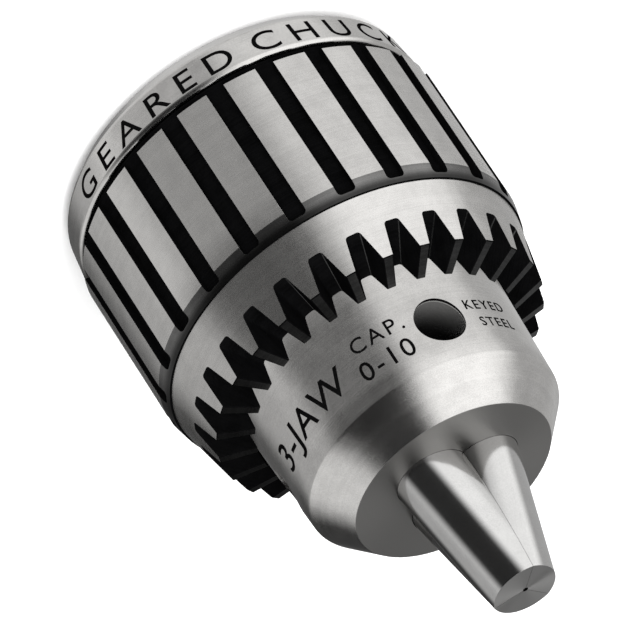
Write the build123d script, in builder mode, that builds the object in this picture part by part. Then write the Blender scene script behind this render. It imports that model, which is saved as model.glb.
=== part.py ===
from build123d import *
import os
from math import cos, pi, radians, sin, tan

# Keyed three-jaw drill chuck with a thrust ball bearing, shown with its jaws closed.
# Millimetres. +Z runs along the chuck's axis towards the nose, the origin is the centre
# of the back face, and jaw 1 lies on the +X side.

# ---- clearances ----
journal_clearance = 0.08         # radial, sleeve on the body, at both ends
jaw_bore_clearance = 0.05        # radial, jaw in its bore
slide_gap = 0.2                  # axial, between the body's faces and what turns
core_clearance = 0.3             # radial, between inner pieces that pass each other
thread_clearance = 0.15          # on each flank and at each crest of the thread
ball_clearance = 0.03            # between a ball and its two races
pocket_clearance = 0.08          # between a ball and its pocket in the cage
race_clearance = 0.05            # radial, a race on the face that centres it
jaw_face_gap = 0.02              # from each gripping face to the plane between two closed jaws

# ---- radii of the shell, from the sleeve's lands inwards ----
sleeve_diameter = 50.0           # over the lands between the flutes
skirt_wall = 2.1                 # land to the bore that holds the nut
collar_front_drop = 0.4          # how far the collar's front edge lies below the lands
collar_rear_drop = 1.0
back_face_drop = 3.0
neck_depth = 0.95                # narrow ring behind the lands
flute_depth = 0.95
band_drop = 0.44                 # front edge of the band in front of the lands
step_drop = 0.68                 # bright cone, where it starts behind a thin step
gear_drop = 2.4                  # outer corner of the gear teeth
nose_root_diameter = 35.8        # nose where it carries the sleeve's web
nose_shoulder_drop = 0.7         # radius lost from the nose's root to its shoulder
nose_face_drop = 4.5             # radius lost from the nose's root to its face

# ---- heights, stacked from the back face to the tips ----
collar_height = 6.9
neck_height = 1.3
drum_face_height = 17.4          # seat of the rear race
race_thickness = 1.2
nut_length = 12.7
web_thickness = 2.25             # nut to the tooth spaces, at the teeth's outer corner
gear_cone_length = 4.84          # step to the tooth spaces
band_height = 2.0                # chamfered band in front of the lands
flute_run_out = 0.7              # end of the flutes to the step
tooth_height = 3.87              # at the teeth's outer corner
tooth_face_rise = 1.3            # from the outer to the inner end of a tooth's top
nose_straight_length = 4.3       # length of the straight nose in the web
key_hole_to_shoulder = 6.2
nose_cone_length = 4.9
jaw_reach = 18.0                 # nose face to the closed jaws' tips

# ---- collar, the rear end of the body ----
collar_chamfer_height = 2.1
collar_lip = 0.35                # rounded edge beside the sleeve
collar_round = 1.0               # rounded corner above the chamfer

# ---- taper socket: No. 2 short taper ----
taper_large_diameter = 14.199
taper_small_diameter = 12.386
taper_length = 22.225
taper_mouth_chamfer = 0.5

# ---- nose ----
nose_shoulder_round = 1.0
shank_hole_diameter = 10.3       # takes the shank of the tool behind the jaws
shank_hole_depth = 20.2
drill_point_angle = 118.0

# ---- key pilot holes ----
key_hole_count = 3
key_hole_diameter = 6.5          # for a 1/4 in pilot
key_hole_depth = 7.7
key_hole_angle = 60.0            # between jaw 1 and jaw 2

# ---- flutes ----
flute_count = 23
flute_width = 2.47
flute_corner = 0.55
flute_angle = -0.895             # of the first flute

# ---- bevel gear ----
tooth_count = 28
space_angle = -4.236             # of the first space between teeth
space_root_width = 1.8           # at the teeth's outer corner
space_root_slope = 26.7          # degrees below the plane of the key holes
space_top_slope = 8.0            # the cutter's top, clear above the teeth
tooth_flank_angle = 14.3
space_root_round = 0.45

# ---- jaws ----
jaw_count = 3
jaw_angle = 15.0
jaw_diameter = 9.5
jaw_engagement = 7.2             # height of thread in mesh when the jaws are closed
jaw_centre_hole = 0.7            # diameter left between the closed jaws
jaw_rear_chamfer = 1.2
capacity = 9.525                 # largest shank: 3/8 in

# ---- thread between nut and jaws ----
thread_pitch = 2.0               # along the jaw, for one turn of the sleeve
thread_depth = 1.0               # engagement, measured across the chuck's axis
thread_crest = 0.5
thread_root = 1.3                # width of a nut thread's foot

# ---- nut and bearing ----
nut_split = 0.1                  # gap between the nut's halves
race_inner_radius = 20.15
ball_diameter = 1.588            # 1/16 in
ball_count = 30
ball_pitch_radius = 21.55
ball_seat_depth = 0.3            # how deep a ball sits in each race
cage_thickness = 0.55
cage_width = 2.33

# ---- worked out from the sizes above ----
slope = tan(radians(jaw_angle))
jaw_radius = jaw_diameter / 2
travel = capacity / 2 / sin(radians(jaw_angle))
sleeve_radius = sleeve_diameter / 2
collar_front_radius = sleeve_radius - collar_front_drop
collar_rear_radius = sleeve_radius - collar_rear_drop
gear_radius = sleeve_radius - gear_drop
skirt_bore = sleeve_radius - skirt_wall
drum_radius = skirt_bore - journal_clearance
nose_radius = nose_root_diameter / 2
web_bore = nose_radius + journal_clearance
spigot_radius = race_inner_radius - race_clearance
ball_radius = ball_diameter / 2
sleeve_rear = collar_height + slide_gap
spigot_height = drum_face_height + race_thickness
race_gap = 2 * (ball_radius - ball_seat_depth)
ball_height = spigot_height + race_gap / 2
nut_rear = spigot_height + race_gap + race_thickness
nut_front = nut_rear + nut_length
nose_rear = nut_front + slide_gap
space_root_height = nut_front + web_thickness
step_height = space_root_height - gear_cone_length
land_end_height = step_height - band_height
flute_end_height = step_height - flute_run_out
gear_outer_height = space_root_height + tooth_height
gear_inner_height = gear_outer_height + tooth_face_rise
key_hole_height = space_root_height + gear_radius * tan(radians(space_root_slope))
nose_shoulder_height = key_hole_height + key_hole_to_shoulder
nose_face_height = nose_shoulder_height + nose_cone_length
overall_length = nose_face_height + jaw_reach
jaw_length = (overall_length - nut_front + jaw_engagement) / cos(radians(jaw_angle))
thread_lead = thread_pitch * cos(radians(jaw_angle))

os.makedirs("parts", exist_ok=True)


def save(block, name):
    """Label a finished piece and write it."""
    block.part.label = name
    export_step(block.part, f"parts/{name}.step")


def jaw_line(height):
    """Radius of the jaws' outer line at a height. At the rear it passes inside the races."""
    return race_inner_radius - core_clearance - (height - drum_face_height) * slope


def turned(plane, angle):
    """A plane, turned about the chuck's axis."""
    return Plane(Location((0, 0, 0), (0, 0, angle)) * plane.location)


# A jaw's axis leans out from the tip to the rear. It meets the plane of the tips here.
axis_at_tip = jaw_line(overall_length) - jaw_radius / cos(radians(jaw_angle))
lean = Vector(sin(radians(jaw_angle)), 0, -cos(radians(jaw_angle)))
jaw_plane = Plane(origin=(axis_at_tip, 0, overall_length), x_dir=(0, 1, 0), z_dir=lean)
jaw_angles = [360 / jaw_count * number for number in range(jaw_count)]

# ---------------------------------------------------------------- body
with BuildPart() as body:
    # Solid of revolution: collar, drum inside the sleeve, spigot of the rear race,
    # conical core inside the nut, and the nose with its slow cone and steep cone.
    core_drop = thread_depth + core_clearance
    with BuildSketch(Plane.XZ):
        with BuildLine():
            Polyline(
                (0, 0),
                (sleeve_radius - back_face_drop, 0),
                (collar_rear_radius, collar_chamfer_height),
                (collar_front_radius, collar_height),
                (drum_radius, collar_height),
                (drum_radius, drum_face_height),
                (spigot_radius, drum_face_height),
                (spigot_radius, spigot_height),
                (jaw_line(spigot_height) - core_drop, spigot_height),
                (jaw_line(nose_rear) - core_drop, nose_rear),
                (nose_radius, nose_rear),
                (nose_radius, nose_rear + nose_straight_length),
                (nose_radius - nose_shoulder_drop, nose_shoulder_height),
                (nose_radius - nose_face_drop, nose_face_height),
                (0, nose_face_height),
                close=True,
            )
        make_face()
    revolve(axis=Axis.Z)
    rims = body.edges().filter_by(GeomType.CIRCLE)
    shoulder = rims.filter_by_position(Axis.Z, nose_shoulder_height - 0.01, nose_shoulder_height + 0.01)
    fillet(shoulder, nose_shoulder_round)
    lip = rims.filter_by_position(Axis.Z, collar_height - 0.01, collar_height + 0.01)
    fillet(lip.sort_by(SortBy.RADIUS)[-1], collar_lip)
    corner = rims.filter_by_position(Axis.Z, collar_chamfer_height - 0.01, collar_chamfer_height + 0.01)
    fillet(corner, collar_round)
    # Taper socket, with a broken edge at its mouth.
    with BuildSketch(Plane.XZ):
        with BuildLine():
            Polyline(
                (0, 0),
                (taper_large_diameter / 2 + taper_mouth_chamfer, 0),
                (taper_large_diameter / 2, taper_mouth_chamfer),
                (taper_small_diameter / 2, taper_length),
                (0, taper_length),
                close=True,
            )
        make_face()
    revolve(axis=Axis.Z, mode=Mode.SUBTRACT)
    # Centre hole behind the jaws, with the drill's point at its floor.
    point_height = shank_hole_diameter / 2 / tan(radians(drill_point_angle / 2))
    with BuildSketch(Plane.XZ):
        with BuildLine():
            Polyline(
                (0, nose_face_height - shank_hole_depth - point_height),
                (shank_hole_diameter / 2, nose_face_height - shank_hole_depth),
                (shank_hole_diameter / 2, nose_face_height),
                (0, nose_face_height),
                close=True,
            )
        make_face()
    revolve(axis=Axis.Z, mode=Mode.SUBTRACT)
    # Jaw bores, blind at the rear, past the place that the open jaws reach.
    for angle in jaw_angles:
        with BuildSketch(turned(jaw_plane, angle)):
            Circle(jaw_radius + jaw_bore_clearance)
        extrude(amount=jaw_length + travel + slide_gap, mode=Mode.SUBTRACT)
    # Pilot holes for the key, between the jaws.
    hole_floor = Plane(origin=(nose_radius - key_hole_depth, 0, key_hole_height), z_dir=(1, 0, 0))
    for number in range(key_hole_count):
        hole_angle = key_hole_angle + 360 / key_hole_count * number
        with BuildSketch(turned(hole_floor, hole_angle)):
            Circle(key_hole_diameter / 2)
        extrude(amount=key_hole_depth + 1, mode=Mode.SUBTRACT)
save(body, "body")

# ---------------------------------------------------------------- sleeve
# One flute: a flat-bottomed slot, open at the rear, with two rounded corners in front.
with BuildPart() as flute:
    flute_floor = Plane(
        origin=(sleeve_radius - flute_depth, 0, 0), x_dir=(0, 1, 0), z_dir=(1, 0, 0)
    )
    with BuildSketch(flute_floor):
        with Locations((0, (sleeve_rear + flute_end_height) / 2)):
            Rectangle(flute_width, flute_end_height - sleeve_rear)
        fillet(vertices().group_by(Axis.Y)[-1], flute_corner)
    extrude(amount=flute_depth + 1)

# One space between gear teeth. It shrinks in proportion towards the apex of the gear's
# cones, so it is lofted between two like sections.
with BuildPart() as tooth_space:
    for section in (nose_radius / 2, sleeve_radius + gear_drop):
        scale = section / gear_radius
        root_height = key_hole_height - section * tan(radians(space_root_slope))
        top_height = key_hole_height - section * tan(radians(space_top_slope))
        root_half = scale * space_root_width / 2
        top_half = root_half + (top_height - root_height) * tan(radians(tooth_flank_angle))
        with BuildSketch(Plane(origin=(section, 0, 0), x_dir=(0, 1, 0), z_dir=(1, 0, 0))):
            with BuildLine():
                Polyline(
                    (-root_half, root_height),
                    (root_half, root_height),
                    (top_half, top_height),
                    (-top_half, top_height),
                    close=True,
                )
            make_face()
            fillet(vertices().group_by(Axis.Y)[0], scale * space_root_round)
    loft(ruled=True)

with BuildPart() as sleeve:
    # Solid of revolution: skirt with its neck, lands, band, step, bright cone and gear blank.
    with BuildSketch(Plane.XZ):
        with BuildLine():
            Polyline(
                (skirt_bore, sleeve_rear),
                (sleeve_radius - neck_depth, sleeve_rear),
                (sleeve_radius - neck_depth, sleeve_rear + neck_height),
                (sleeve_radius, sleeve_rear + neck_height),
                (sleeve_radius, land_end_height),
                (sleeve_radius - band_drop, step_height),
                (sleeve_radius - step_drop, step_height),
                (gear_radius, gear_outer_height),
                (web_bore, gear_inner_height),
                (web_bore, nut_front),
                (skirt_bore, nut_front),
                close=True,
            )
        make_face()
    revolve(axis=Axis.Z)
    with PolarLocations(0, flute_count, start_angle=flute_angle):
        add(flute.part, mode=Mode.SUBTRACT)
    with PolarLocations(0, tooth_count, start_angle=space_angle):
        add(tooth_space.part, mode=Mode.SUBTRACT)
save(sleeve, "sleeve")

# ---------------------------------------------------------------- nut
# Right-hand thread on the inside of a cone. Each half of the split nut has its own
# grooves, half a turn each, and a groove runs out past both of the half's ends.
groove_depth = thread_depth + thread_clearance
flank = (thread_root - thread_crest) / 2 / groove_depth
groove_mouth = thread_lead - thread_crest
groove_run_out = 8.0             # degrees past each end of a half
groove_total = int(nut_length / thread_lead) + 2


def thread_groove(start_angle, start_height, arc):
    """A cutter for one groove, which follows a helix on the cone of the crests."""
    with BuildLine() as helix:
        Helix(
            thread_lead,
            thread_lead * arc / 360,
            jaw_line(start_height) - thread_depth,
            center=(0, 0, start_height),
            cone_angle=-jaw_angle,
        )
    with BuildSketch(Plane(origin=helix.line @ 0, x_dir=(1, 0, 0), z_dir=helix.line % 0)) as profile:
        with BuildLine():
            Polyline(
                (-thread_clearance, groove_mouth / 2 + flank * thread_clearance),
                (groove_depth, groove_mouth / 2 - flank * groove_depth),
                (groove_depth, flank * groove_depth - groove_mouth / 2),
                (-thread_clearance, -groove_mouth / 2 - flank * thread_clearance),
                close=True,
            )
        make_face()
    with BuildPart() as groove:
        sweep(sections=profile.sketch, path=helix.line, is_frenet=True)
    return Rot(0, 0, start_angle) * groove.part


for number, half_start in ((1, 0), (2, 180)):
    groove_start = half_start - groove_run_out
    grooves = [
        thread_groove(
            groove_start,
            nut_rear + (turn + groove_start / 360) * thread_lead,
            180 + 2 * groove_run_out,
        )
        for turn in range(-1, groove_total)
    ]
    with BuildPart() as nut_half:
        # Blank with a conical bore at the crests of the thread.
        with BuildSketch(turned(Plane.XZ, half_start)):
            with BuildLine():
                Polyline(
                    (jaw_line(nut_rear) - thread_depth, nut_rear),
                    (skirt_bore, nut_rear),
                    (skirt_bore, nut_front),
                    (jaw_line(nut_front) - thread_depth, nut_front),
                    close=True,
                )
            make_face()
        revolve(axis=Axis.Z, revolution_arc=180)
        add(grooves, mode=Mode.SUBTRACT)
        parting = turned(Plane(origin=(0, nut_split / 2, 0), z_dir=(0, 1, 0)), half_start)
        split(bisect_by=parting)
    save(nut_half, f"nut_half_{number}")

# ---------------------------------------------------------------- jaws
# A jaw's thread grooves are rings about an axis that leans by the thread's lead angle, so
# that they follow the nut's crests across the width of the jaw.
axial_travel = travel * cos(radians(jaw_angle))
threads_rear = overall_length - jaw_length * cos(radians(jaw_angle))
threads_front = nut_front + axial_travel + thread_lead / 2
threads_middle = (threads_rear + threads_front) / 2
lead_angle = thread_lead / (2 * pi * jaw_line(threads_middle))
ring_plane = Plane(
    origin=(0, 0, threads_middle), x_dir=(1, 0, 0), z_dir=(0, -cos(lead_angle), -sin(lead_angle))
)
ring_floor_half = thread_crest / 2 + thread_clearance
ring_total = int((threads_front - nut_rear) / thread_lead)

for number, angle in enumerate(jaw_angles):
    crest_heights = [
        nut_rear + (ring + 0.5 + number / jaw_count) * thread_lead for ring in range(ring_total)
    ]
    with BuildPart() as jaw:
        with BuildSketch(turned(jaw_plane, angle)):
            Circle(jaw_radius)
        extrude(amount=jaw_length)
        rear_face = jaw.faces().filter_by(GeomType.PLANE).sort_by(Axis.Z)[0]
        chamfer(rear_face.edges(), jaw_rear_chamfer)
        # The blank starts in front of the tips and is cut off square to the chuck's axis.
        with BuildSketch(turned(jaw_plane, angle)):
            Circle(jaw_radius)
        extrude(amount=-2 * jaw_radius)
        split(bisect_by=Plane.XY.offset(overall_length), keep=Keep.BOTTOM)
        # Two gripping faces make a wedge whose edge is the chuck's axis.
        for side in (1, -1):
            inward = Vector(1, 0, 0).rotate(Axis.Z, angle + side * (180 / jaw_count - 90))
            split(bisect_by=Plane(origin=inward * jaw_face_gap, z_dir=inward))
        with BuildSketch(Plane.XY):
            Circle(jaw_centre_hole / 2)
        extrude(amount=overall_length, mode=Mode.SUBTRACT)
        # Grooves for the nut's crests, a third of a pitch further on from jaw to jaw.
        with BuildSketch(turned(ring_plane, angle)) as rings:
            for height in crest_heights:
                if height > threads_rear:
                    floor_radius = jaw_line(height) - thread_depth - thread_clearance
                    mouth_radius = jaw_line(height) + thread_depth
                    mouth_half = ring_floor_half + flank * (mouth_radius - floor_radius)
                    middle = height - threads_middle
                    with BuildLine():
                        Polyline(
                            (floor_radius, middle - ring_floor_half),
                            (mouth_radius, middle - mouth_half),
                            (mouth_radius, middle + mouth_half),
                            (floor_radius, middle + ring_floor_half),
                            close=True,
                        )
                    make_face()
        leaning_axis = Axis((0, 0, threads_middle), rings.workplanes[0].y_dir)
        revolve(axis=leaning_axis, mode=Mode.SUBTRACT)
    save(jaw, f"jaw_{number + 1}")

# ---------------------------------------------------------------- thrust bearing
# A ball groove in a race is part of a ring around the balls, one clearance larger.
for name, seat, back in (
    ("rear_race", ball_height - race_gap / 2, drum_face_height),
    ("front_race", ball_height + race_gap / 2, nut_rear),
):
    # The rear race clears the turning sleeve; the front race is centred by it.
    outer_radius = skirt_bore - (race_clearance if name == "front_race" else core_clearance)
    with BuildPart() as race:
        with BuildSketch(Plane.XZ):
            with BuildLine():
                Polyline(
                    (race_inner_radius, seat),
                    (outer_radius, seat),
                    (outer_radius, back),
                    (race_inner_radius, back),
                    close=True,
                )
            make_face()
            with Locations((ball_pitch_radius, ball_height)):
                Circle(ball_radius + ball_clearance, mode=Mode.SUBTRACT)
        revolve(axis=Axis.Z)
    save(race, name)

with BuildPart() as ball_cage:
    with BuildSketch(Plane.XY.offset(ball_height - cage_thickness / 2)):
        Circle(ball_pitch_radius + cage_width / 2)
        Circle(ball_pitch_radius - cage_width / 2, mode=Mode.SUBTRACT)
        with PolarLocations(ball_pitch_radius, ball_count):
            Circle(ball_radius + pocket_clearance, mode=Mode.SUBTRACT)
    extrude(amount=cage_thickness)
save(ball_cage, "ball_cage")

for number, place in enumerate(PolarLocations(ball_pitch_radius, ball_count).locations):
    with BuildPart() as ball:
        with Locations((place.position.X, place.position.Y, ball_height)):
            Sphere(ball_radius)
    save(ball, f"bearing_ball_{number + 1:02d}")
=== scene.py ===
"""Finishes and fine shapes for a keyed drill chuck that stands on its back face, nose up."""

import math

import bmesh
import bpy
import numpy as np
from mathutils import Matrix, Vector


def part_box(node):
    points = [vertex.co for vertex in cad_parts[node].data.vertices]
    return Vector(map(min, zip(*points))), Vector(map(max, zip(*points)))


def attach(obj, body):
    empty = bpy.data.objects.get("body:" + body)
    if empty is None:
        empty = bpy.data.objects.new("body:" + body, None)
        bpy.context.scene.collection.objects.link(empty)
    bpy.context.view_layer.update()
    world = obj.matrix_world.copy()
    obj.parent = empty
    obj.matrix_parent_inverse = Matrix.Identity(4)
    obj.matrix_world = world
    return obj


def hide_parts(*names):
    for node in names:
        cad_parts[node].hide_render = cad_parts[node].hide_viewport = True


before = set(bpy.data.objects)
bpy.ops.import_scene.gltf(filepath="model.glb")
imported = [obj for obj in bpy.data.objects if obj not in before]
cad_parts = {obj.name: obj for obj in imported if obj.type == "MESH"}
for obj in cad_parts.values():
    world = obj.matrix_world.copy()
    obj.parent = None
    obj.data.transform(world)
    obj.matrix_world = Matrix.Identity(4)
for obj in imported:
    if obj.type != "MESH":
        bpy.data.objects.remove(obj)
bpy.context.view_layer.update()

bl_info = {
    "name": "Drill Chuck Finisher",
    "version": (1, 0, 0),
    "blender": (4, 5, 0),
    "location": "3D View > Sidebar > Chuck",
    "description": "Builds the fluted sleeve, gear, markings and finishes of a drill chuck",
    "category": "Object",
}

MM = 0.001
SLEEVE_LOW, SLEEVE_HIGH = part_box("sleeve")
BODY_LOW, BODY_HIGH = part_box("body")
JAW_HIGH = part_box("jaw_1")[1]
NUT_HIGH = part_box("nut_half_1")[1]

# Rows this close to a fillet keep the shading of the straight stretch beside it flat.
HOLD = 0.04 * MM
SHARP_EDGE = math.radians(30)


def size(name, description, default, unit="LENGTH"):
    """A float property for a length, an angle or a plain number."""
    kind = {"LENGTH": {"unit": "LENGTH", "subtype": "DISTANCE"}, "ANGLE": {"subtype": "ANGLE"}}.get(unit, {})
    return bpy.props.FloatProperty(name=name, description=description, default=default, precision=5, **kind)


def colour(name, description, default):
    """A colour property."""
    return bpy.props.FloatVectorProperty(
        name=name, description=description, default=default, size=3, min=0, max=1, subtype="COLOR"
    )


class ChuckSleeveSizes(bpy.types.PropertyGroup):
    """Sizes of the sleeve's skirt, flutes and gear. Its land radius and both its ends come from the frame."""

    land_radius: size("Land radius", "Radius over the lands between the flutes", SLEEVE_HIGH.x - 0.002 * MM)
    wall: size("Skirt wall", "Land to the bore that holds the nut", 2.1 * MM)
    neck_height: size("Neck height", "Height of the narrow ring behind the lands", 1.3 * MM)
    flute_depth: size("Flute depth", "Depth of a flute and of the neck", 0.95 * MM)
    flute_width: size("Flute width", "Width of a flute", 2.47 * MM)
    flute_corner: size("Flute corner", "Rounding of a flute's front corners", 0.55 * MM)
    flute_run_out: size("Flute run-out", "End of the flutes to the step", 0.7 * MM)
    flutes: bpy.props.IntProperty(name="Flutes", description="Number of flutes", default=23)
    flute_angle: size("Flute angle", "Angle of the first flute", math.radians(-0.895), "ANGLE")
    band_height: size("Band height", "Height of the band in front of the lands", 2.0 * MM)
    band_drop: size("Band drop", "Radius lost across the band", 0.44 * MM)
    step_drop: size("Step drop", "Land radius to the cone behind the teeth", 0.68 * MM)
    gear_drop: size("Gear drop", "Land radius to the teeth's outer corner", 2.4 * MM)
    tooth_face_rise: size("Tooth face rise", "Outer to inner end of a tooth's top", 1.3 * MM)
    tooth_height: size("Tooth height", "Height of a tooth at its outer corner", 3.87 * MM)
    cone_length: size("Cone length", "Step to the tooth spaces", 4.84 * MM)
    teeth: bpy.props.IntProperty(name="Teeth", description="Number of gear teeth", default=28)
    space_angle: size("Space angle", "Angle of the first space between teeth", math.radians(-4.236), "ANGLE")
    root_width: size("Root width", "Width of a tooth space at its root, at the outside", 1.8 * MM)
    root_round: size("Root rounding", "Rounding of a space's root corners, at the outside", 0.45 * MM)
    root_slope: size("Root slope", "Slope of the root towards the gear's apex", math.radians(26.7), "ANGLE")
    flank_angle: size("Flank angle", "Angle of a tooth's flank", math.radians(14.3), "ANGLE")
    web_bore: size("Web bore", "Radius of the bore that turns on the nose", 17.98 * MM)
    edge_break: size("Edge break", "Width of the broken edges", 0.1 * MM)


class ChuckCollarSizes(bpy.types.PropertyGroup):
    """Sizes of the collar at the back of the body."""

    rear_radius: size("Rear radius", "Radius of the flat back face", 22.0 * MM)
    chamfer: size("Chamfer height", "Height of the rear chamfer", 2.1 * MM)
    collar_radius: size("Collar radius", "Radius at the front lip", 24.6 * MM)
    flare: size("Flare", "Radius gained from the chamfer to the lip", 0.6 * MM)
    collar_height: size("Collar height", "Back face to the lip", 6.9 * MM)
    drum_radius: size("Drum radius", "Radius of the body in front of the collar", 22.82 * MM)
    hidden_depth: size("Hidden depth", "How far the collar's ring reaches into the body", 0.8 * MM)
    rear_round: size("Rear round", "Rounding where the chamfer ends", 1.0 * MM)
    lip_round: size("Lip round", "Rounding of the front lip", 0.6 * MM)
    segments: bpy.props.IntProperty(name="Segments", description="Faces around the collar", default=256)


class ChuckFinishes(bpy.types.PropertyGroup):
    """Colours of the finishes."""

    ground: colour("Ground steel", "Lands, cones and collar", (0.60, 0.59, 0.575))
    bright: colour("Bright steel", "Ground and polished jaws", (0.57, 0.566, 0.558))
    oxide: colour("Black oxide", "Flutes and tooth spaces", (0.0018, 0.0018, 0.0019))
    band: colour("Dark band", "Band in front of the lands", (0.17, 0.168, 0.165))
    tooth_top: colour("Tooth top", "Worn tops of the teeth", (0.045, 0.045, 0.045))
    # The root line is a painted highlight: a lighter line along one corner of each tooth space.
    edge: colour("Root line", "Worn line along a root's corner", (0.06, 0.06, 0.06))
    marking: colour("Marking", "Filled, engraved letters", (0.002, 0.002, 0.002))
    turned: colour("Turned steel", "Nut and other inner steel", (0.40, 0.39, 0.38))
    brass: colour("Cage brass", "Ball cage", (0.72, 0.53, 0.25))
    floor: colour("Floor", "Pale floor under the chuck", (0.86, 0.86, 0.86))


class ChuckView(bpy.types.PropertyGroup):
    """Where the camera stands and how it is turned."""

    elevation: size("Elevation", "Height angle of the camera", math.radians(30.8), "ANGLE")
    azimuth: size("Azimuth", "Angle of the camera about the chuck's axis", math.radians(-28.0), "ANGLE")
    roll: size("Roll", "Turn of the camera about its own line of sight", math.radians(146.64), "ANGLE")
    distance: size("Distance", "Camera to the point it looks at", 984 * MM)
    height: size("Aim height", "Height of the aim before it is shifted", 52 * MM)
    aim_right: size("Aim to the right", "Shift of the aim across the picture", -13.887 * MM)
    aim_up: size("Aim up", "Shift of the aim up the picture", 15.614 * MM)
    lens: bpy.props.FloatProperty(name="Lens", description="Focal length", default=464.6, unit="CAMERA")
    floor_half: size("Floor half width", "Middle of the floor to its side", 1.5)


# ---------------------------------------------------------------- meshes
def grid_faces(rows, columns):
    """Quads between neighbouring rows and columns; the last column joins the first."""
    row, column = np.meshgrid(np.arange(rows - 1), np.arange(columns), indexing="ij")
    after = (column + 1) % columns
    here, above = row * columns, (row + 1) * columns
    corners = (here + column, here + after, above + after, above + column)
    return np.stack([c.ravel() for c in corners], axis=1)


def mesh_object(name, points, faces, slots=None, materials=()):
    """One object from points and quads. Doubled points are merged and its normals point outwards."""
    mesh = bpy.data.meshes.new(name)
    mesh.from_pydata(points.reshape(-1, 3), [], faces.tolist())
    for material in materials:
        mesh.materials.append(material)
    if slots is not None:
        mesh.polygons.foreach_set("material_index", slots.astype(np.int32))
    work = bmesh.new()
    work.from_mesh(mesh)
    bmesh.ops.remove_doubles(work, verts=work.verts, dist=1e-6)
    bmesh.ops.dissolve_degenerate(work, edges=work.edges, dist=1e-7)
    bmesh.ops.recalc_face_normals(work, faces=work.faces)
    work.to_mesh(mesh)
    work.free()
    mesh.shade_smooth()
    piece = bpy.data.objects.new(name, mesh)
    bpy.context.scene.collection.objects.link(piece)
    return piece


def break_edges(piece, width, slot=-1):
    """Breaks every sharp edge by a small width, with shading that keeps the faces flat. The slot is the
    material of the broken edge; -1 takes the neighbour's."""
    bevel = piece.modifiers.new("broken_edges", "BEVEL")
    bevel.width = width
    bevel.segments = 2
    bevel.limit_method = "ANGLE"
    bevel.angle_limit = SHARP_EDGE
    bevel.harden_normals = True
    bevel.use_clamp_overlap = True
    bevel.material = slot
    return piece


def stack(*rows):
    """Rows of (radius, angle, height) columns as points in space: x = r cos a, y = r sin a, z = h."""
    shape = rows[0][1].shape
    radius, angle, height = (np.array([np.broadcast_to(row[i], shape) for row in rows]) for i in range(3))
    return np.stack([radius * np.cos(angle), radius * np.sin(angle), height], axis=-1)


def arc_points(before, corner, after, radius, count=7):
    """Points of a fillet between two straight lines that meet at a corner: centre + radius (cos t, sin t)."""
    before, corner, after = (np.array(p, float) for p in (before, corner, after))
    one, two = before - corner, after - corner
    one, two = one / np.linalg.norm(one), two / np.linalg.norm(two)
    half = math.acos(float(np.clip(one @ two, -1, 1))) / 2
    centre = corner + (one + two) / np.linalg.norm(one + two) * radius / math.sin(half)
    first, last = corner + one * radius / math.tan(half), corner + two * radius / math.tan(half)
    start, end = (math.atan2(*(q - centre)[::-1]) for q in (first, last))
    end = start + (end - start + math.pi) % (2 * math.pi) - math.pi
    turn = np.linspace(start, end, count)
    return centre + radius * np.stack([np.cos(turn), np.sin(turn)], axis=1)


def between(first, last):
    """Points close to the ends of a straight line and three along it, so that shading stays flat between
    fillets."""
    span = np.linalg.norm(np.subtract(last, first))
    share = np.array([HOLD / span, 0.25, 0.5, 0.75, 1 - HOLD / span])
    return np.array(first) + share[:, None] * np.subtract(last, first)


def collar_mesh(s, material):
    """Collar: a closed profile (r, z) with filleted corners, turned about the axis: x = r cos a and
    y = r sin a."""
    rim = (s.rear_radius, BODY_LOW.z)
    shoulder = (s.collar_radius - s.flare, s.chamfer)
    lip = (s.collar_radius, s.collar_height)
    drum = (s.drum_radius, s.collar_height)
    rear = arc_points(rim, shoulder, lip, s.rear_round)
    front = arc_points(shoulder, lip, drum, s.lip_round)
    inside = [(s.rear_radius - s.hidden_depth, s.collar_height), (s.rear_radius - s.hidden_depth, s.chamfer)]
    profile = np.concatenate([[rim], between(rim, rear[0]), rear, between(rear[-1], front[0]), front,
                              between(front[-1], drum), [drum], inside, [rim]])
    angle = np.linspace(0, 2 * math.pi, s.segments, endpoint=False)
    points = stack(*[(r, angle, z) for r, z in profile])
    return mesh_object("collar", points, grid_faces(len(profile), s.segments), None, [material])


def behind_collar_front(points, s):
    """True for points on the collar's outside: at or past the rear rim's radius and no higher than its
    front."""
    margin = 0.01 * MM
    outside = np.hypot(points[:, 0], points[:, 1]) > s.rear_radius - margin
    return outside & (points[:, 2] < s.collar_height + margin)


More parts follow.
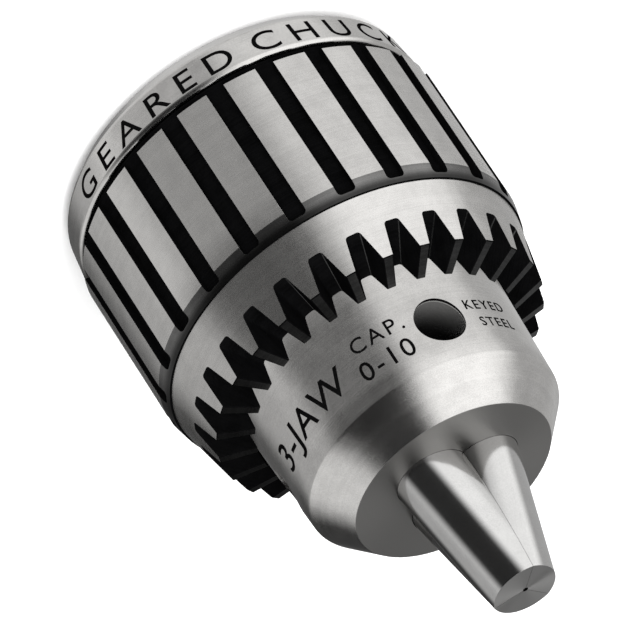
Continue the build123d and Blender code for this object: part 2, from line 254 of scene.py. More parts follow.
def joined_copy(node, left_out=None, spread=math.radians(14)):
    """A copy of a CAD node, its doubled points merged, whose shading runs on across its round faces' seams.

    Where corners share a place and their normals differ by less than the spread, each takes the normal
    n = sum(n_k) / |sum(n_k)|. Triangles whose three points are all in the left-out part are dropped.
    """
    mesh = node.data
    points, corners = np.empty(len(mesh.vertices) * 3), np.empty(len(mesh.loops), np.int32)
    normals = np.empty(len(mesh.loops) * 3)
    mesh.vertices.foreach_get("co", points)
    mesh.loops.foreach_get("vertex_index", corners)
    mesh.corner_normals.foreach_get("vector", normals)
    points, normals = points.reshape(-1, 3), normals.reshape(-1, 3)
    work = bmesh.new()
    work.from_mesh(mesh)
    doubles = bmesh.ops.find_doubles(work, verts=work.verts, dist=1e-6)["targetmap"]
    place = np.arange(len(points))
    place[[v.index for v in doubles]] = [v.index for v in doubles.values()]
    work.free()
    corners = place[corners]
    order = np.argsort(corners, kind="stable")
    sorted_place, sorted_normals = corners[order], normals[order]
    total = sorted_normals.copy()
    for step in range(1, int(np.bincount(corners).max())):
        same = sorted_place[:-step] == sorted_place[step:]
        close = np.einsum("ij,ij->i", sorted_normals[:-step], sorted_normals[step:]) > math.cos(spread)
        pair = (same & close)[:, None]
        total[:-step] += sorted_normals[step:] * pair
        total[step:] += sorted_normals[:-step] * pair
    normals[order] = total / np.linalg.norm(total, axis=1, keepdims=True)
    triangles, normals = corners.reshape(-1, 3), normals.reshape(-1, 3, 3)
    kept = np.array([triangles[:, i] != triangles[:, i - 1] for i in range(3)]).all(axis=0)
    if left_out is not None:
        kept &= ~left_out(points)[triangles].all(axis=1)
    used, triangles = np.unique(triangles[kept], return_inverse=True)
    copy = bpy.data.meshes.new(node.name + "_joined")
    copy.from_pydata(points[used], [], triangles.reshape(-1, 3).tolist())
    for slot in node.material_slots:
        copy.materials.append(slot.material)
    copy.shade_smooth()
    copy.normals_split_custom_set(normals[kept].reshape(-1, 3).tolist())
    piece = bpy.data.objects.new(node.name + "_joined", copy)
    bpy.context.scene.collection.objects.link(piece)
    return piece


def skirt_mesh(s, materials):
    """Fluted skirt. Columns stand at each flute's floor and edges and along each land; a row runs at each
    height.

    A point's radius is the land's profile at its height, or the flute's floor inside a flute. Half a flute's
    width is w, and near its front end w - c (1 - cos t) at the height end - c (1 - sin t), for a corner of
    radius c.
    """
    rear, step = SLEEVE_LOW.z, s.step_height
    land_end, flute_end = step - s.band_height, step - s.flute_run_out
    floor = s.land_radius - s.flute_depth
    turn = np.linspace(0, math.pi / 2, 7)
    lands = np.linspace(rear + s.neck_height, land_end - HOLD, 6)
    corner = flute_end - s.flute_corner * (1 - np.sin(turn))
    heights = np.concatenate([[rear + s.neck_height], lands, [land_end + HOLD], corner])
    halves = np.full(heights.shape, s.flute_width / 2)
    halves[-len(turn):] -= s.flute_corner * (1 - np.cos(turn))
    band = np.clip((heights - land_end) / s.band_height, 0, None)
    profile = s.land_radius - s.band_drop * band
    profile[0] = floor
    pitch = 2 * math.pi / s.flutes
    centres = s.flute_angle + pitch * np.arange(s.flutes)
    share = np.array([0, 0.2, 0.4, 0.6, 0.8, 1.0])
    in_flute = 4
    per_flute = in_flute + len(share)

    def row(height, half, floor_radius, land_radius):
        edge = half / s.land_radius
        land = edge + share * (pitch - 2 * edge)
        offsets = np.concatenate([[-edge, -edge / 3, edge / 3, edge], land])
        radii = np.concatenate([np.full(in_flute, floor_radius), np.full(len(share), land_radius)])
        return np.tile(radii, s.flutes), (centres[:, None] + offsets).ravel(), height

    rows = [row(rear, halves[0], floor, floor)]
    rows += [row(h, w, floor, r) for h, w, r in zip(heights, halves, profile)]
    last = halves[-1]
    rows += [row(flute_end, last, profile[-1], profile[-1])]
    rows += [row(step, last, s.land_radius - s.band_drop, s.land_radius - s.band_drop)]
    bore = s.land_radius - s.wall
    rows += [row(step, last, bore, bore), row(rear, halves[0], bore, bore), rows[0]]
    points = stack(*rows)
    faces = grid_faces(len(rows), points.shape[1])
    column = np.tile(np.arange(points.shape[1]) % per_flute, len(rows) - 1)
    level = np.repeat(np.arange(len(rows) - 1), points.shape[1])
    inside_flute = (column < in_flute) | (column == per_flute - 1)
    front = len(heights) + 1
    black = (level < 2) | (inside_flute & (level < front)) | (level >= front + 1)
    on_band = (level > len(lands)) & (level < front + 1)
    slots = np.where(black, 1, np.where(on_band, 2, 0))
    return mesh_object("sleeve_skirt", points, faces, slots, materials)


def gear_rays(s):
    """Columns of one tooth and space, as rays from the apex of the gear's cones.

    At the distance R along the space's middle, a ray's point is (R, R a, apex - R b). Root corners are arcs
    and flanks are straight lines in the plane of a and b. Returns the outer and the inner a and b of each
    column across a space.
    """
    gear_radius = s.land_radius - s.gear_drop
    root, lean = math.tan(s.root_slope), math.tan(s.flank_angle)
    half, rounding = s.root_width / 2 / gear_radius, s.root_round / gear_radius
    centre_a = half + lean * rounding - rounding / math.cos(s.flank_angle)
    arc = np.linspace(-math.pi / 2, -s.flank_angle, 5)
    corner_a, corner_b = centre_a + rounding * np.cos(arc), root - rounding - rounding * np.sin(arc)
    tips = []
    for radius, height in ((gear_radius, s.tip_outer), (s.web_bore, s.tip_inner)):
        a = half
        for _ in range(20):  # the tip's corner, where the flank reaches the tooth's top
            b = (s.apex - height) * math.sqrt(1 + a * a) / radius
            a = half + lean * (root - b)
        tips.append((a, b))
    sides = []
    for tip_a, tip_b in tips:
        climb = np.linspace(0, 1, 5)[1:]
        side_a = np.concatenate([corner_a, corner_a[-1] + climb * (tip_a - corner_a[-1])])
        side_b = np.concatenate([corner_b, corner_b[-1] + climb * (tip_b - corner_b[-1])])
        sides.append((np.concatenate([-side_a[::-1], side_a]), np.concatenate([side_b[::-1], side_b])))
    return sides


def gear_mesh(s, materials):
    """Bevel gear: a cone from the step up to the outline of teeth and spaces, a crown of straight lines from
    the outer outline in to the bore, then the bore and the web's rear face. Rows are joined column by column.
    """
    (outer_a, outer_b), (inner_a, inner_b) = gear_rays(s)
    base = s.land_radius - s.step_drop
    taper = (base - (s.land_radius - s.gear_drop)) / (s.tip_outer - s.step_height)
    reach = (base - taper * (s.apex - s.step_height)) / (np.sqrt(1 + outer_a**2) - taper * outer_b)
    outer_angle, outer_height = np.arctan(outer_a), s.apex - reach * outer_b
    inner_angle = np.arctan(inner_a)
    inner_height = s.apex - s.web_bore / np.sqrt(1 + inner_a**2) * inner_b
    pitch = 2 * math.pi / s.teeth
    share = np.array([0.25, 0.5, 0.75])

    def around(angles, heights):
        first, last = angles[-1], angles[0] + pitch
        angles = np.concatenate([angles, first + share * (last - first)])
        heights = np.concatenate([heights, np.full(share.shape, heights[-1])])
        centres = s.space_angle + pitch * np.arange(s.teeth)
        return (centres[:, None] + angles).ravel(), np.tile(heights, s.teeth)

    outer_angle, outer_height = around(outer_angle, outer_height)
    inner_angle, inner_height = around(inner_angle, inner_height)
    rows = []
    for t in np.linspace(0, 1, 6):
        height = s.step_height + t * (outer_height - s.step_height)
        rows.append((base - taper * (height - s.step_height), outer_angle, height))
    outer = stack(rows[-1])[0]
    inner = stack((s.web_bore, inner_angle, inner_height))[0]
    crown = outer + np.linspace(0, 1, 6)[1:, None, None] * (inner - outer)
    bore = s.land_radius - s.wall
    closing = stack(
        (s.web_bore, inner_angle, s.web_rear),
        (bore, inner_angle, s.web_rear),
        (bore, inner_angle, s.step_height),
        (base, outer_angle, s.step_height),
    )
    points = np.concatenate([stack(*rows), crown, closing])
    faces = grid_faces(len(points), points.shape[1])
    per_tooth = len(outer_a) + len(share)
    column = np.tile(np.arange(points.shape[1]) % per_tooth, len(points) - 1)
    level = np.repeat(np.arange(len(points) - 1), points.shape[1])
    in_space = column < len(outer_a) - 1
    crown_start = len(rows) - 1
    crown_end = crown_start + len(crown)
    highlight_column = 5
    crown_level = (level >= crown_start) & (level < crown_end)
    slots = np.where(crown_level & in_space, 1, np.where(crown_level, 2, 0))
    slots[level >= crown_end] = 1
    slots[crown_level & (column == highlight_column)] = 3  # a painted highlight: a lighter line along one corner of each root
    return mesh_object("sleeve_gear", points, faces, slots, materials)


# ---------------------------------------------------------------- materials
def new_group(name, inputs, outputs):
    """An empty shader node group with float inputs and the named outputs."""
    group = bpy.data.node_groups.new(name, "ShaderNodeTree")
    for label, default in inputs:
        socket = group.interface.new_socket(name=label, in_out="INPUT", socket_type="NodeSocketFloat")
        socket.default_value = default
    for label, kind in outputs:
        group.interface.new_socket(name=label, in_out="OUTPUT", socket_type=kind)
    return group, Wires(group)


class Wires:
    """Adds nodes to a tree and joins them."""

    def __init__(self, tree):
        self.tree = tree

    def node(self, kind, **settings):
        """A node with its settings."""
        made = self.tree.nodes.new("ShaderNode" + kind if not kind.startswith("NodeGroup") else kind)
        for key, value in settings.items():
            setattr(made, key, value)
        return made

    def feed(self, socket, value):
        """Joins a socket to another one, or sets it."""
        if isinstance(value, bpy.types.NodeSocket):
            self.tree.links.new(value, socket)
        else:
            socket.default_value = value

    def math(self, operation, *values, clamp=False):
        """One Math node."""
        made = self.node("Math", operation=operation, use_clamp=clamp)
        for socket, value in zip(made.inputs, values):
            self.feed(socket, value)
        return made.outputs[0]

    def noise(self, vector, scale, detail=3.0, roughness=0.55):
        """One Noise node's value."""
        made = self.node("TexNoise")
        self.feed(made.inputs["Vector"], vector)
        for label, value in (("Scale", scale), ("Detail", detail), ("Roughness", roughness)):
            self.feed(made.inputs[label], value)
        return made.outputs["Fac"]

    def span(self, value, low, high, out_low=0.0, out_high=1.0, smooth=True):
        """Maps low..high to out_low..out_high, clamped."""
        made = self.node("MapRange", interpolation_type="SMOOTHSTEP" if smooth else "LINEAR")
        for socket, number in zip(made.inputs, (value, low, high, out_low, out_high)):
            self.feed(socket, number)
        return made.outputs[0]

    def mix(self, share, first, second):
        """Mixes two colours."""
        made = self.node("Mix", data_type="RGBA")
        colours = [s for s in made.inputs if s.type == "RGBA"]
        self.feed(made.inputs[0], share)
        self.feed(colours[0], first)
        self.feed(colours[1], second)
        return [s for s in made.outputs if s.type == "RGBA"][0]


def machined_group():
    """Machined metal: fine rings about the chuck's axis, soft cloudy mottling and a fine grain, all from
    object coordinates. Puts out a tone, a change of roughness and a height."""
    group, w = new_group(
        "machined_metal",
        [("Ring pitch", 0.00012), ("Mottle size", 0.002), ("Grain size", 0.0002), ("Ring share", 0.6)],
        [("Tone", "NodeSocketFloat"), ("Rough change", "NodeSocketFloat"), ("Height", "NodeSocketFloat")],
    )
    inlet = w.node("NodeGroupInput")
    outlet = w.node("NodeGroupOutput")
    place = w.node("TexCoord").outputs["Object"]
    split = w.node("SeparateXYZ")
    w.feed(split.inputs[0], place)
    radius = w.math("SQRT", w.math("ADD", w.math("MULTIPLY", split.outputs[0], split.outputs[0]),
                                   w.math("MULTIPLY", split.outputs[1], split.outputs[1])))
    # Rings: noise that varies along the profile, z + r, and hardly at all around the axis.
    along = w.math("DIVIDE", w.math("ADD", split.outputs[2], radius), inlet.outputs["Ring pitch"])
    around = w.math("ARCTAN2", split.outputs[1], split.outputs[0])
    ring_place = w.node("CombineXYZ")
    w.feed(ring_place.inputs[0], along)
    w.feed(ring_place.inputs[1], w.math("MULTIPLY", w.math("COSINE", around), 0.35))
    w.feed(ring_place.inputs[2], w.math("MULTIPLY", w.math("SINE", around), 0.35))
    rings = w.noise(ring_place.outputs[0], 1.0, 2.0, 0.6)
    mottle = w.noise(place, w.math("DIVIDE", 1.0, inlet.outputs["Mottle size"]), 4.0, 0.6)
    grain = w.noise(place, w.math("DIVIDE", 1.0, inlet.outputs["Grain size"]), 2.0, 0.7)
    fine = w.math("ADD", w.math("MULTIPLY", rings, inlet.outputs["Ring share"]),
                  w.math("MULTIPLY", grain, w.math("SUBTRACT", 1.0, inlet.outputs["Ring share"])))
    tone = w.math("ADD", w.math("MULTIPLY", mottle, 0.35), w.math("MULTIPLY", fine, 0.65))
    w.feed(outlet.inputs["Tone"], tone)
    w.feed(outlet.inputs["Rough change"], w.math("SUBTRACT", tone, 0.5))
    w.feed(outlet.inputs["Height"], fine)
    return group


def place_values(w):
    """Height and radius about the chuck's axis, from object coordinates."""
    split = w.node("SeparateXYZ")
    w.feed(split.inputs[0], w.node("TexCoord").outputs["Object"])
    squares = w.math("ADD", w.math("POWER", split.outputs[0], 2.0), w.math("POWER", split.outputs[1], 2.0))
    return split.outputs[2], w.math("SQRT", squares)


def metal(name, machined, base, roughness, depth, tone=0.12, rough_swing=0.2, ring_pitch=0.12 * MM,
          mottle=2.5 * MM, grain=0.16 * MM, ring_share=0.5, metallic=1.0, shade=None, face=None):
    """A machined metal. shade(wires) gives a mask that darkens and a mask that dulls, or None: painted shade
    in the key holes, oxide on the band.

    face is a faced, turned end: its height, the strength of its highlights that run straight out from the
    axis, its roughness and the share of its base colour kept under painted shade, which dims the face against
    the same steel beside it.
    """
    material = bpy.data.materials.new(name)
    material.use_nodes = True
    w = Wires(material.node_tree)
    shader = material.node_tree.nodes["Principled BSDF"]
    marks = w.node("Group", node_tree=machined)
    scales = {"Ring pitch": ring_pitch, "Mottle size": mottle, "Grain size": grain, "Ring share": ring_share}
    for label, value in scales.items():
        marks.inputs[label].default_value = value
    dark, light = tuple(c * (1 - tone) for c in base), tuple(min(1.0, c * (1 + tone)) for c in base)
    shown = w.mix(w.span(marks.outputs["Tone"], 0.35, 0.65), (*dark, 1), (*light, 1))
    matte = None
    if shade is not None:
        darkness, matte = shade(w)
        # In the key holes this darkening is painted shade; on the band it is oxide.
        shown = w.mix(darkness, shown, (0.006, 0.006, 0.006, 1))
    w.feed(shader.inputs["Base Color"], shown)
    swing = w.math("MULTIPLY", marks.outputs["Rough change"], rough_swing)
    rough = w.math("ADD", swing, roughness, clamp=True)
    shader.inputs["Metallic"].default_value = metallic
    if matte is not None:
        w.feed(shader.inputs["Metallic"], w.math("SUBTRACT", 1.0, matte))
    if metallic < 0.5:
        shader.inputs["Specular IOR Level"].default_value = 0.0
    if face is not None:
        height, strength, face_roughness, face_shade_share = face
        on_face = w.span(w.math("SUBTRACT", place_values(w)[0], height), -0.06 * MM, -0.02 * MM)
        w.feed(shader.inputs["Anisotropic"], w.math("MULTIPLY", on_face, strength))
        # Painted shade: the faced end is dimmed against the same steel beside it.
        darker = tuple(c * face_shade_share for c in base)
        w.feed(shader.inputs["Base Color"], w.mix(on_face, shown, (*darker, 1)))
        rough = w.math("ADD", rough, w.math("MULTIPLY", on_face, face_roughness - roughness))
        around = w.node("VectorMath", operation="CROSS_PRODUCT")
        around.inputs[0].default_value = (0, 0, 1)
        w.feed(around.inputs[1], w.node("TexCoord").outputs["Object"])
        turn = w.node("VectorTransform", vector_type="VECTOR", convert_from="OBJECT", convert_to="WORLD")
        w.feed(turn.inputs[0], around.outputs[0])
        unit = w.node("VectorMath", operation="NORMALIZE")
        w.feed(unit.inputs[0], turn.outputs[0])
        w.feed(shader.inputs["Tangent"], unit.outputs[0])
    w.feed(shader.inputs["Roughness"], rough)
    bump = w.node("Bump")
    bump.inputs["Distance"].default_value = depth
    bump.inputs["Strength"].default_value = 1.0
    w.feed(bump.inputs["Height"], marks.outputs["Height"])
    w.feed(shader.inputs["Normal"], bump.outputs[0])
    return material


# The key holes lie between two heights, in walls that start just below the nose's skin.
HOLE_LOW, HOLE_HIGH, HOLE_FADE = 33.0 * MM, 53.0 * MM, 1.0 * MM
SKIN_RADIUS, WALL_RADIUS, FLOOR_RADIUS = 17.25 * MM, 17.0 * MM, 11.5 * MM
# Share of painted shade at the key holes' walls; it grows to full shade at their floors.
HOLE_PAINTED_SHADE = 0.91

# Oxide is left on the front of the band, between these distances behind the step.
OXIDE_START, OXIDE_END, OXIDE_DARKNESS = 1.5 * MM, 0.2 * MM, 0.8


def painted_hole_shade(w):
    """Darkens and dulls the key holes with painted shade, below the nose's skin, and more so the deeper they
    go.
    """
    height, radius = place_values(w)
    along = w.math("MULTIPLY", w.span(height, HOLE_HIGH, HOLE_HIGH - HOLE_FADE),
                   w.span(height, HOLE_LOW, HOLE_LOW + HOLE_FADE))
    mouth = w.math("MULTIPLY", w.span(radius, SKIN_RADIUS, WALL_RADIUS), along)
    deep = w.math("MULTIPLY", w.span(radius, WALL_RADIUS, FLOOR_RADIUS, HOLE_PAINTED_SHADE, 1.0), mouth)
    return deep, mouth


def band_shade(w):
    """Darkens the band in front of the lands towards the step, where oxide is left."""
    step = sleeve_values().step_height
    height, _ = place_values(w)
    return w.span(height, step - OXIDE_START, step - OXIDE_END, 0.0, OXIDE_DARKNESS), None


def make_finishes(f):
    """Every finish of the chuck, by name, from the colours in the group f."""
    m = machined_group()
    nose_face, tip = BODY_HIGH.z, JAW_HIGH.z
    return {
        "ground": metal("ground_steel", m, f.ground, 0.27, 0.003 * MM, ring_share=0.4),
        # The body's key holes get painted shade, and its nose face a painted shade of its own.
        "body": metal("ground_body_steel", m, f.ground, 0.23, 0.0035 * MM, ring_share=0.35, shade=painted_hole_shade,
                      face=(nose_face, 0.5, 0.4, 0.52)),
        "oxide": metal("black_oxide", m, f.oxide, 0.6, 0.004 * MM, tone=0.4, metallic=0.0),
        "band": metal("worn_dark_band", m, f.band, 0.25, 0.003 * MM, tone=0.2, shade=band_shade),
        "tooth_top": metal("worn_tooth_top", m, f.tooth_top, 0.4, 0.003 * MM, tone=0.35),
        # The root line's material is a painted highlight.
        "edge": metal("worn_root_line", m, f.edge, 0.45, 0.002 * MM, tone=0.3),
        # The jaws' tip faces are dimmed a little with painted shade.
        "bright": metal("bright_jaw_steel", m, f.bright, 0.13, 0.0006 * MM, tone=0.06, rough_swing=0.1,
                        mottle=3 * MM, ring_share=0.2, face=(tip, 0.95, 0.3, 0.85)),
        "marking": metal("filled_marking", m, f.marking, 0.6, 0.002 * MM, tone=0.4, metallic=0.0),
        "turned": metal("turned_inner_steel", m, f.turned, 0.4, 0.004 * MM, ring_pitch=0.3 * MM),
        "race": metal("ground_race_steel", m, f.bright, 0.22, 0.002 * MM, tone=0.1),
        "brass": metal("cage_brass", m, f.brass, 0.35, 0.003 * MM, tone=0.15),
    }


FINISHES = {}


def settings(name):
    """One of this scene's property groups."""
    return getattr(bpy.context.scene, name)


def sleeve_values():
    """The sleeve's sizes with the heights that follow from the frame."""
    s = settings("chuck_sleeve")
    values = type("SleeveValues", (), {key: getattr(s, key) for key in ChuckSleeveSizes.__annotations__})()
    values.tip_inner = SLEEVE_HIGH.z
    values.tip_outer = values.tip_inner - values.tooth_face_rise
    values.root_outer = values.tip_outer - values.tooth_height
    values.step_height = values.root_outer - values.cone_length
    values.apex = values.root_outer + (values.land_radius - values.gear_drop) * math.tan(values.root_slope)
    values.web_rear = NUT_HIGH.z
    return values


class CHUCK_OT_finishes(bpy.types.Operator):
    """Make the finishes and give the CAD parts theirs"""

    bl_idname = "chuck.finishes"
    bl_label = "Finishes"

    def execute(self, context):
        FINISHES.update(make_finishes(settings("chuck_finishes")))
        by_node = {"body": "body", "ball_cage": "brass", "rear_race": "race", "front_race": "race",
                   "nut_half_1": "turned", "nut_half_2": "turned"}
        for name, node in list(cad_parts.items()):
            finish = by_node.get(name, "ground")
            if name.startswith("jaw") or name.startswith("bearing_ball"):
                finish = "bright"
            for slot in node.material_slots:
                slot.material = FINISHES[finish]
        return {"FINISHED"}


def stand_for(piece, node):
    """The piece rides where its CAD node does and takes the node's place."""
    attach(piece, node)
    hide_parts(node)


class CHUCK_OT_body(bpy.types.Operator):
    """Join the body's surface and build its collar"""

    bl_idname = "chuck.body"
    bl_label = "Body"

    def execute(self, context):
        s = settings("chuck_collar")
        core = joined_copy(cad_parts["body"], lambda points: behind_collar_front(points, s))
        for piece in (core, collar_mesh(s, FINISHES["body"])):
            stand_for(piece, "body")
        return {"FINISHED"}


class CHUCK_OT_jaws(bpy.types.Operator):
    """Join the surfaces of the three jaws"""

    bl_idname = "chuck.jaws"
    bl_label = "Jaws"

    def execute(self, context):
        for name in ("jaw_1", "jaw_2", "jaw_3"):
            stand_for(joined_copy(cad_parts[name]), name)
        return {"FINISHED"}


class CHUCK_OT_sleeve(bpy.types.Operator):
    """Build the fluted skirt and the bevel gear of the sleeve"""

    bl_idname = "chuck.sleeve"
    bl_label = "Sleeve"

    def execute(self, context):
        s = sleeve_values()
        shared = [FINISHES["ground"], FINISHES["oxide"]]
        skirt = break_edges(skirt_mesh(s, [*shared, FINISHES["band"]]), s.edge_break)
        gear = break_edges(gear_mesh(s, [*shared, FINISHES["tooth_top"], FINISHES["edge"]]), s.edge_break, 1)
        # The teeth are left out of reflections, so that they don't blur into the nose beside them.
        gear.visible_glossy = False
        for piece in (skirt, gear):
            stand_for(piece, "sleeve")
        return {"FINISHED"}


# ---------------------------------------------------------------- markings
class ChuckMarkings(bpy.types.PropertyGroup):
    """Words on the chuck and their sizes."""

    collar_first: bpy.props.StringProperty(name="Collar, first", description="First word", default="GEARED")
    collar_second: bpy.props.StringProperty(name="Collar, second", description="Second word", default="CHUCK")
    style: bpy.props.StringProperty(name="Style", description="Large word on the nose", default="3-JAW")
    capacity_title: bpy.props.StringProperty(name="Capacity title", description="Short title", default="CAP.")
    capacity: bpy.props.StringProperty(name="Capacity", description="Range of shanks held", default="0-10")
    note: bpy.props.StringProperty(name="Note", description="Small word beside the key hole", default="KEYED")
    note_second: bpy.props.StringProperty(name="Second note", description="Word under it", default="STEEL")
    collar_cap: size("Collar letters", "Height of the collar's capitals", 3.3 * MM)
    lift: size("Lift", "Letter face above the metal, so it isn't hidden by it", 0.015 * MM)
    inlay: size("Inlay", "Thickness of the filling", 0.05 * MM)
    slice_width: size("Slice width", "Letters are cut this often, to follow the curve", 0.35 * MM)
    stroke: size("Stroke", "Growth of a stroke, as a share of the letter's size", 0.003, "NONE")
    nose_radius: size("Nose radius", "Radius of the nose where its taper starts", 17.9 * MM)
    nose_start: size("Nose start", "Height where the nose's taper starts", 37.988 * MM)
    nose_taper: size("Nose taper", "Radius lost for each step of height", 0.0457, "NONE")


def flat_letters(words, cap_height, spacing, stretch, stroke):
    """Flat letters in x and y, centred. Capitals are cap_height tall and the letters are widened by the
    stretch."""
    curve = bpy.data.curves.new("letters", "FONT")
    curve.body, curve.size = words, 1.0
    curve.space_character, curve.offset = spacing, stroke
    curve.align_x, curve.resolution_u = "CENTER", 6
    text = bpy.data.objects.new("letters", curve)
    bpy.context.scene.collection.objects.link(text)
    bpy.context.view_layer.update()
    mesh = bpy.data.meshes.new_from_object(text)
    bpy.data.objects.remove(text)
    points = np.empty(len(mesh.vertices) * 3)
    mesh.vertices.foreach_get("co", points)
    points = points.reshape(-1, 3)
    points[:, :2] -= (points[:, :2].min(axis=0) + points[:, :2].max(axis=0)) / 2
    points *= cap_height / np.ptp(points[:, 1]) * np.array([stretch, 1, 1])
    mesh.vertices.foreach_set("co", points.ravel())
    return mesh


def bent_letters(name, words, cap_height, azimuth, height, radius, slope, spacing, stretch=1.0):
    """Letters wrapped on a cone about the axis: angle = azimuth - x / radius, z = height - y and
    r = radius + slope (z - height) + lift. Letters read towards smaller angles with their tops down."""
    s = settings("chuck_markings")
    mesh = flat_letters(words, cap_height, spacing, stretch, s.stroke)
    work = bmesh.new()
    work.from_mesh(mesh)
    bmesh.ops.triangulate(work, faces=work.faces)
    half = max(abs(v.co.x) for v in work.verts)
    for place in np.arange(-half, half, s.slice_width):
        everything = work.verts[:] + work.edges[:] + work.faces[:]
        bmesh.ops.bisect_plane(work, geom=everything, plane_co=(place, 0, 0), plane_no=(1, 0, 0))
    work.to_mesh(mesh)
    work.free()
    points = np.empty(len(mesh.vertices) * 3)
    mesh.vertices.foreach_get("co", points)
    x, y, _ = points.reshape(-1, 3).T
    angle, z = azimuth - x / radius, height - y
    r = radius + slope * (z - height) + s.lift
    mesh.vertices.foreach_set("co", np.stack([r * np.cos(angle), r * np.sin(angle), z], axis=1).ravel())
    mesh.materials.clear()
    mesh.materials.append(FINISHES["marking"])
    mesh.update()
    mesh.shade_flat()
    piece = bpy.data.objects.new(name, mesh)
    bpy.context.scene.collection.objects.link(piece)
    inlay = piece.modifiers.new("inlay", "SOLIDIFY")
    inlay.thickness, inlay.offset = s.inlay, -1
    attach(piece, "body")


class CHUCK_OT_markings(bpy.types.Operator):
    """Letter the collar and the nose"""

    bl_idname = "chuck.markings"
    bl_label = "Markings"

    def execute(self, context):
        s = settings("chuck_markings")
        collar = {"height": 4.5 * MM, "radius": 24.3 * MM, "slope": 0.125, "spacing": 1.5, "stretch": 1.18}
        bent_letters("mark_collar_first", s.collar_first, s.collar_cap, azimuth=math.radians(-10), **collar)
        bent_letters("mark_collar_second", s.collar_second, s.collar_cap, azimuth=math.radians(-78), **collar)

        def nose(name, words, cap, azimuth, height, spacing):
            radius = s.nose_radius - s.nose_taper * (height * MM - s.nose_start)
            bent_letters(name, words, cap * MM, math.radians(azimuth), height * MM, radius, -s.nose_taper,
                         spacing)

        nose("mark_style", s.style, cap=5.0, azimuth=11, height=48.2, spacing=1.05)
        nose("mark_capacity_title", s.capacity_title, cap=2.1, azimuth=-34, height=45.5, spacing=1.25)
        nose("mark_capacity", s.capacity, cap=2.6, azimuth=-32.5, height=49.1, spacing=1.15)
        nose("mark_note", s.note, cap=1.4, azimuth=-85, height=45.6, spacing=1.2)
        nose("mark_note_second", s.note_second, cap=1.4, azimuth=-87, height=48.3, spacing=1.2)
        return {"FINISHED"}


# ---------------------------------------------------------------- stage
# The light tent is four soft panels round the chuck. Each has its middle and half width in degrees of
# azimuth, then its brightness seen steeply below, low, level and above.
PANELS = {
    "bright_side": (-85, 40, (0.85, 0.9, 1.3, 1.45)),
    "front": (10, 48, (0.45, 0.0, 0.1, 0.0)),
    "fill": (68, 30, (0.45, 0.45, 0.5, 0.9)),
    "back": (-165, 45, (0.5, 0.45, 0.5, 0.5)),
}
AMBIENT = (0.12, 0.05, 0.05, 0.03)
PANEL_SOFT = 14
# Heights, as the sine of the angle above the horizon, between which one brightness gives way to the next.
PANEL_STEPS = ((-0.50, -0.46), (-0.40, -0.30), (-0.135, -0.08))
# Almost straight below, the tent gives way to an even, pale ground.
GROUND_STEP = (-0.78, -0.86)
GROUND = (0.8, 0.8, 0.8, 1)


def light_tent(strength):
    """World light of a plain tent: a sum of soft panels over a dim even light.

    A panel's share at azimuth a is 1 within half - soft of its middle and falls smoothly to 0 at half + soft.
    """
    world = bpy.data.worlds.new("light_tent")
    world.use_nodes = True
    w = Wires(world.node_tree)
    split = w.node("SeparateXYZ")
    w.feed(split.inputs[0], w.node("TexCoord").outputs["Generated"])
    azimuth = w.math("DEGREES", w.math("ARCTAN2", split.outputs[1], split.outputs[0]))
    steps = [w.span(split.outputs[2], low, high) for low, high in PANEL_STEPS]

    def at_heights(levels):
        total = levels[0]
        for step, below, above in zip(steps, levels, levels[1:]):
            total = w.math("ADD", w.math("MULTIPLY", step, above - below), total)
        return total

    level = at_heights(AMBIENT)
    for middle, half, levels in PANELS.values():
        turned = w.math("WRAP", w.math("SUBTRACT", azimuth, middle), 180, -180)
        share = w.span(w.math("ABSOLUTE", turned), half + PANEL_SOFT, half - PANEL_SOFT)
        level = w.math("ADD", level, w.math("MULTIPLY", share, at_heights(levels)))
    level = w.mix(w.span(split.outputs[2], *GROUND_STEP), level, GROUND)
    background = world.node_tree.nodes["Background"]
    w.feed(background.inputs["Color"], level)
    background.inputs["Strength"].default_value = strength
    bpy.context.scene.world = world


def add_light(name, place, aim, width, power):
    """A round area light that lights the floor and doesn't show in the metal."""
    data = bpy.data.lights.new(name, "AREA")
    data.shape, data.size, data.energy = "DISK", width, power
    lamp = bpy.data.objects.new(name, data)
    bpy.context.scene.collection.objects.link(lamp)
    lamp.location = place
    lamp.rotation_euler = (Vector(aim) - Vector(place)).to_track_quat("-Z", "Y").to_euler()
    lamp.visible_glossy = False


# The floor stops short of the back face, so that the two never lie in one plane.
FLOOR_GAP = 0.02 * MM


def floor_mesh(half, material):
    """A flat square floor just under the chuck's back face: x and y run from -half to half, z is constant."""
    across = np.linspace(-half, half, 3)
    x, y = np.meshgrid(across, across)
    points = np.stack([x.ravel(), y.ravel(), np.full(x.size, BODY_LOW.z - FLOOR_GAP)], axis=1)
    faces = [[r * 3 + c, r * 3 + c + 1, r * 3 + c + 4, r * 3 + c + 3] for r in range(2) for c in range(2)]
    return mesh_object("floor", points, np.array(faces), None, [material])


def floor_finish(shade):
    """A pale matt floor with a very faint paper grain."""
    material = bpy.data.materials.new("pale_floor")
    material.use_nodes = True
    w = Wires(material.node_tree)
    shader = material.node_tree.nodes["Principled BSDF"]
    grain = w.noise(w.node("TexCoord").outputs["Object"], 900.0, 2.0)
    w.feed(shader.inputs["Base Color"], w.mix(grain, (*(c * 0.985 for c in shade), 1), (*shade, 1)))
    shader.inputs["Roughness"].default_value = 0.9
    return material


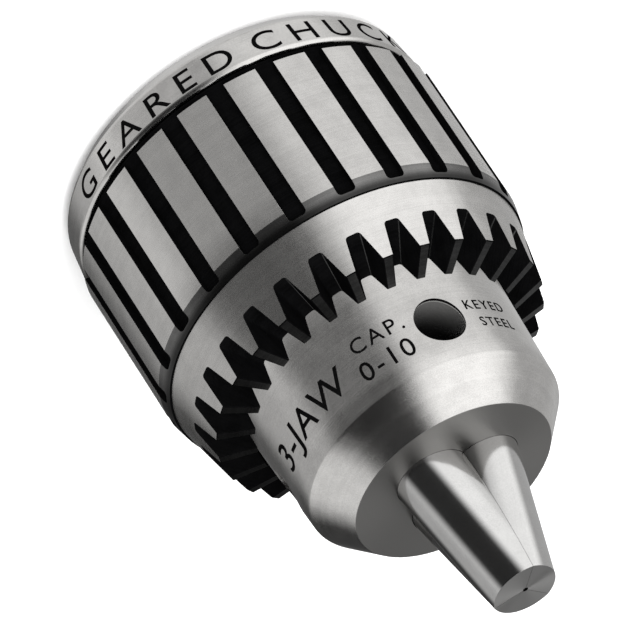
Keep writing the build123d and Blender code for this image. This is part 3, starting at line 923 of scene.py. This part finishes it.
class CHUCK_OT_stage(bpy.types.Operator):
    """Set up the floor, the light and the camera"""

    bl_idname = "chuck.stage"
    bl_label = "Stage"

    def execute(self, context):
        view = settings("chuck_view")
        floor = floor_mesh(view.floor_half, floor_finish(settings("chuck_finishes").floor))
        floor.visible_glossy = False
        light_tent(strength=1.0)
        add_light("floor_light", place=(0.6, -0.32, 1.0), aim=(0, 0, 0), width=1.2, power=34.0)
        # The camera looks back along its own direction; the roll turns it about that line.
        toward = Vector((math.cos(view.elevation) * math.cos(view.azimuth),
                         math.cos(view.elevation) * math.sin(view.azimuth), math.sin(view.elevation)))
        upright = (Vector((0, 0, 1)) - toward * toward.z).normalized()
        level = upright.cross(toward)
        right = level * math.cos(view.roll) + upright * math.sin(view.roll)
        up = -level * math.sin(view.roll) + upright * math.cos(view.roll)
        station = Vector((0, 0, view.height)) + toward * view.distance
        aim = Vector((0, 0, view.height)) + right * view.aim_right + up * view.aim_up
        back = (station - aim).normalized()
        right = (right - back * right.dot(back)).normalized()
        data = bpy.data.cameras.new("camera")
        data.lens = view.lens
        camera = bpy.data.objects.new("camera", data)
        context.scene.collection.objects.link(camera)
        turn = Matrix((right, back.cross(right), back)).transposed().to_4x4()
        camera.matrix_world = Matrix.Translation(station) @ turn
        data.clip_start, data.clip_end = 0.05, 10
        context.scene.camera = camera
        context.scene.view_settings.view_transform = "Standard"
        return {"FINISHED"}


class CHUCK_PT_panel(bpy.types.Panel):
    """Steps that build the chuck's looks"""

    bl_label = "Drill chuck"
    bl_idname = "CHUCK_PT_panel"
    bl_space_type = "VIEW_3D"
    bl_region_type = "UI"
    bl_category = "Chuck"

    def draw(self, context):
        for operator in OPERATORS:
            self.layout.operator(operator.bl_idname)


GROUPS = {
    "chuck_sleeve": ChuckSleeveSizes,
    "chuck_collar": ChuckCollarSizes,
    "chuck_finishes": ChuckFinishes,
    "chuck_markings": ChuckMarkings,
    "chuck_view": ChuckView,
}
OPERATORS = (CHUCK_OT_finishes, CHUCK_OT_body, CHUCK_OT_jaws, CHUCK_OT_sleeve, CHUCK_OT_markings,
             CHUCK_OT_stage)


def register():
    """Registers the classes and ties the settings to the scene."""
    for cls in (*GROUPS.values(), *OPERATORS, CHUCK_PT_panel):
        bpy.utils.register_class(cls)
    for name, cls in GROUPS.items():
        setattr(bpy.types.Scene, name, bpy.props.PointerProperty(type=cls))


def unregister():
    """Undoes register."""
    for name in GROUPS:
        delattr(bpy.types.Scene, name)
    for cls in (CHUCK_PT_panel, *reversed(OPERATORS), *reversed(list(GROUPS.values()))):
        bpy.utils.unregister_class(cls)


def main():
    register()
    for operator in OPERATORS:
        section, name = operator.bl_idname.split(".")
        getattr(getattr(bpy.ops, section), name)()


if __name__ == "__main__":
    main()
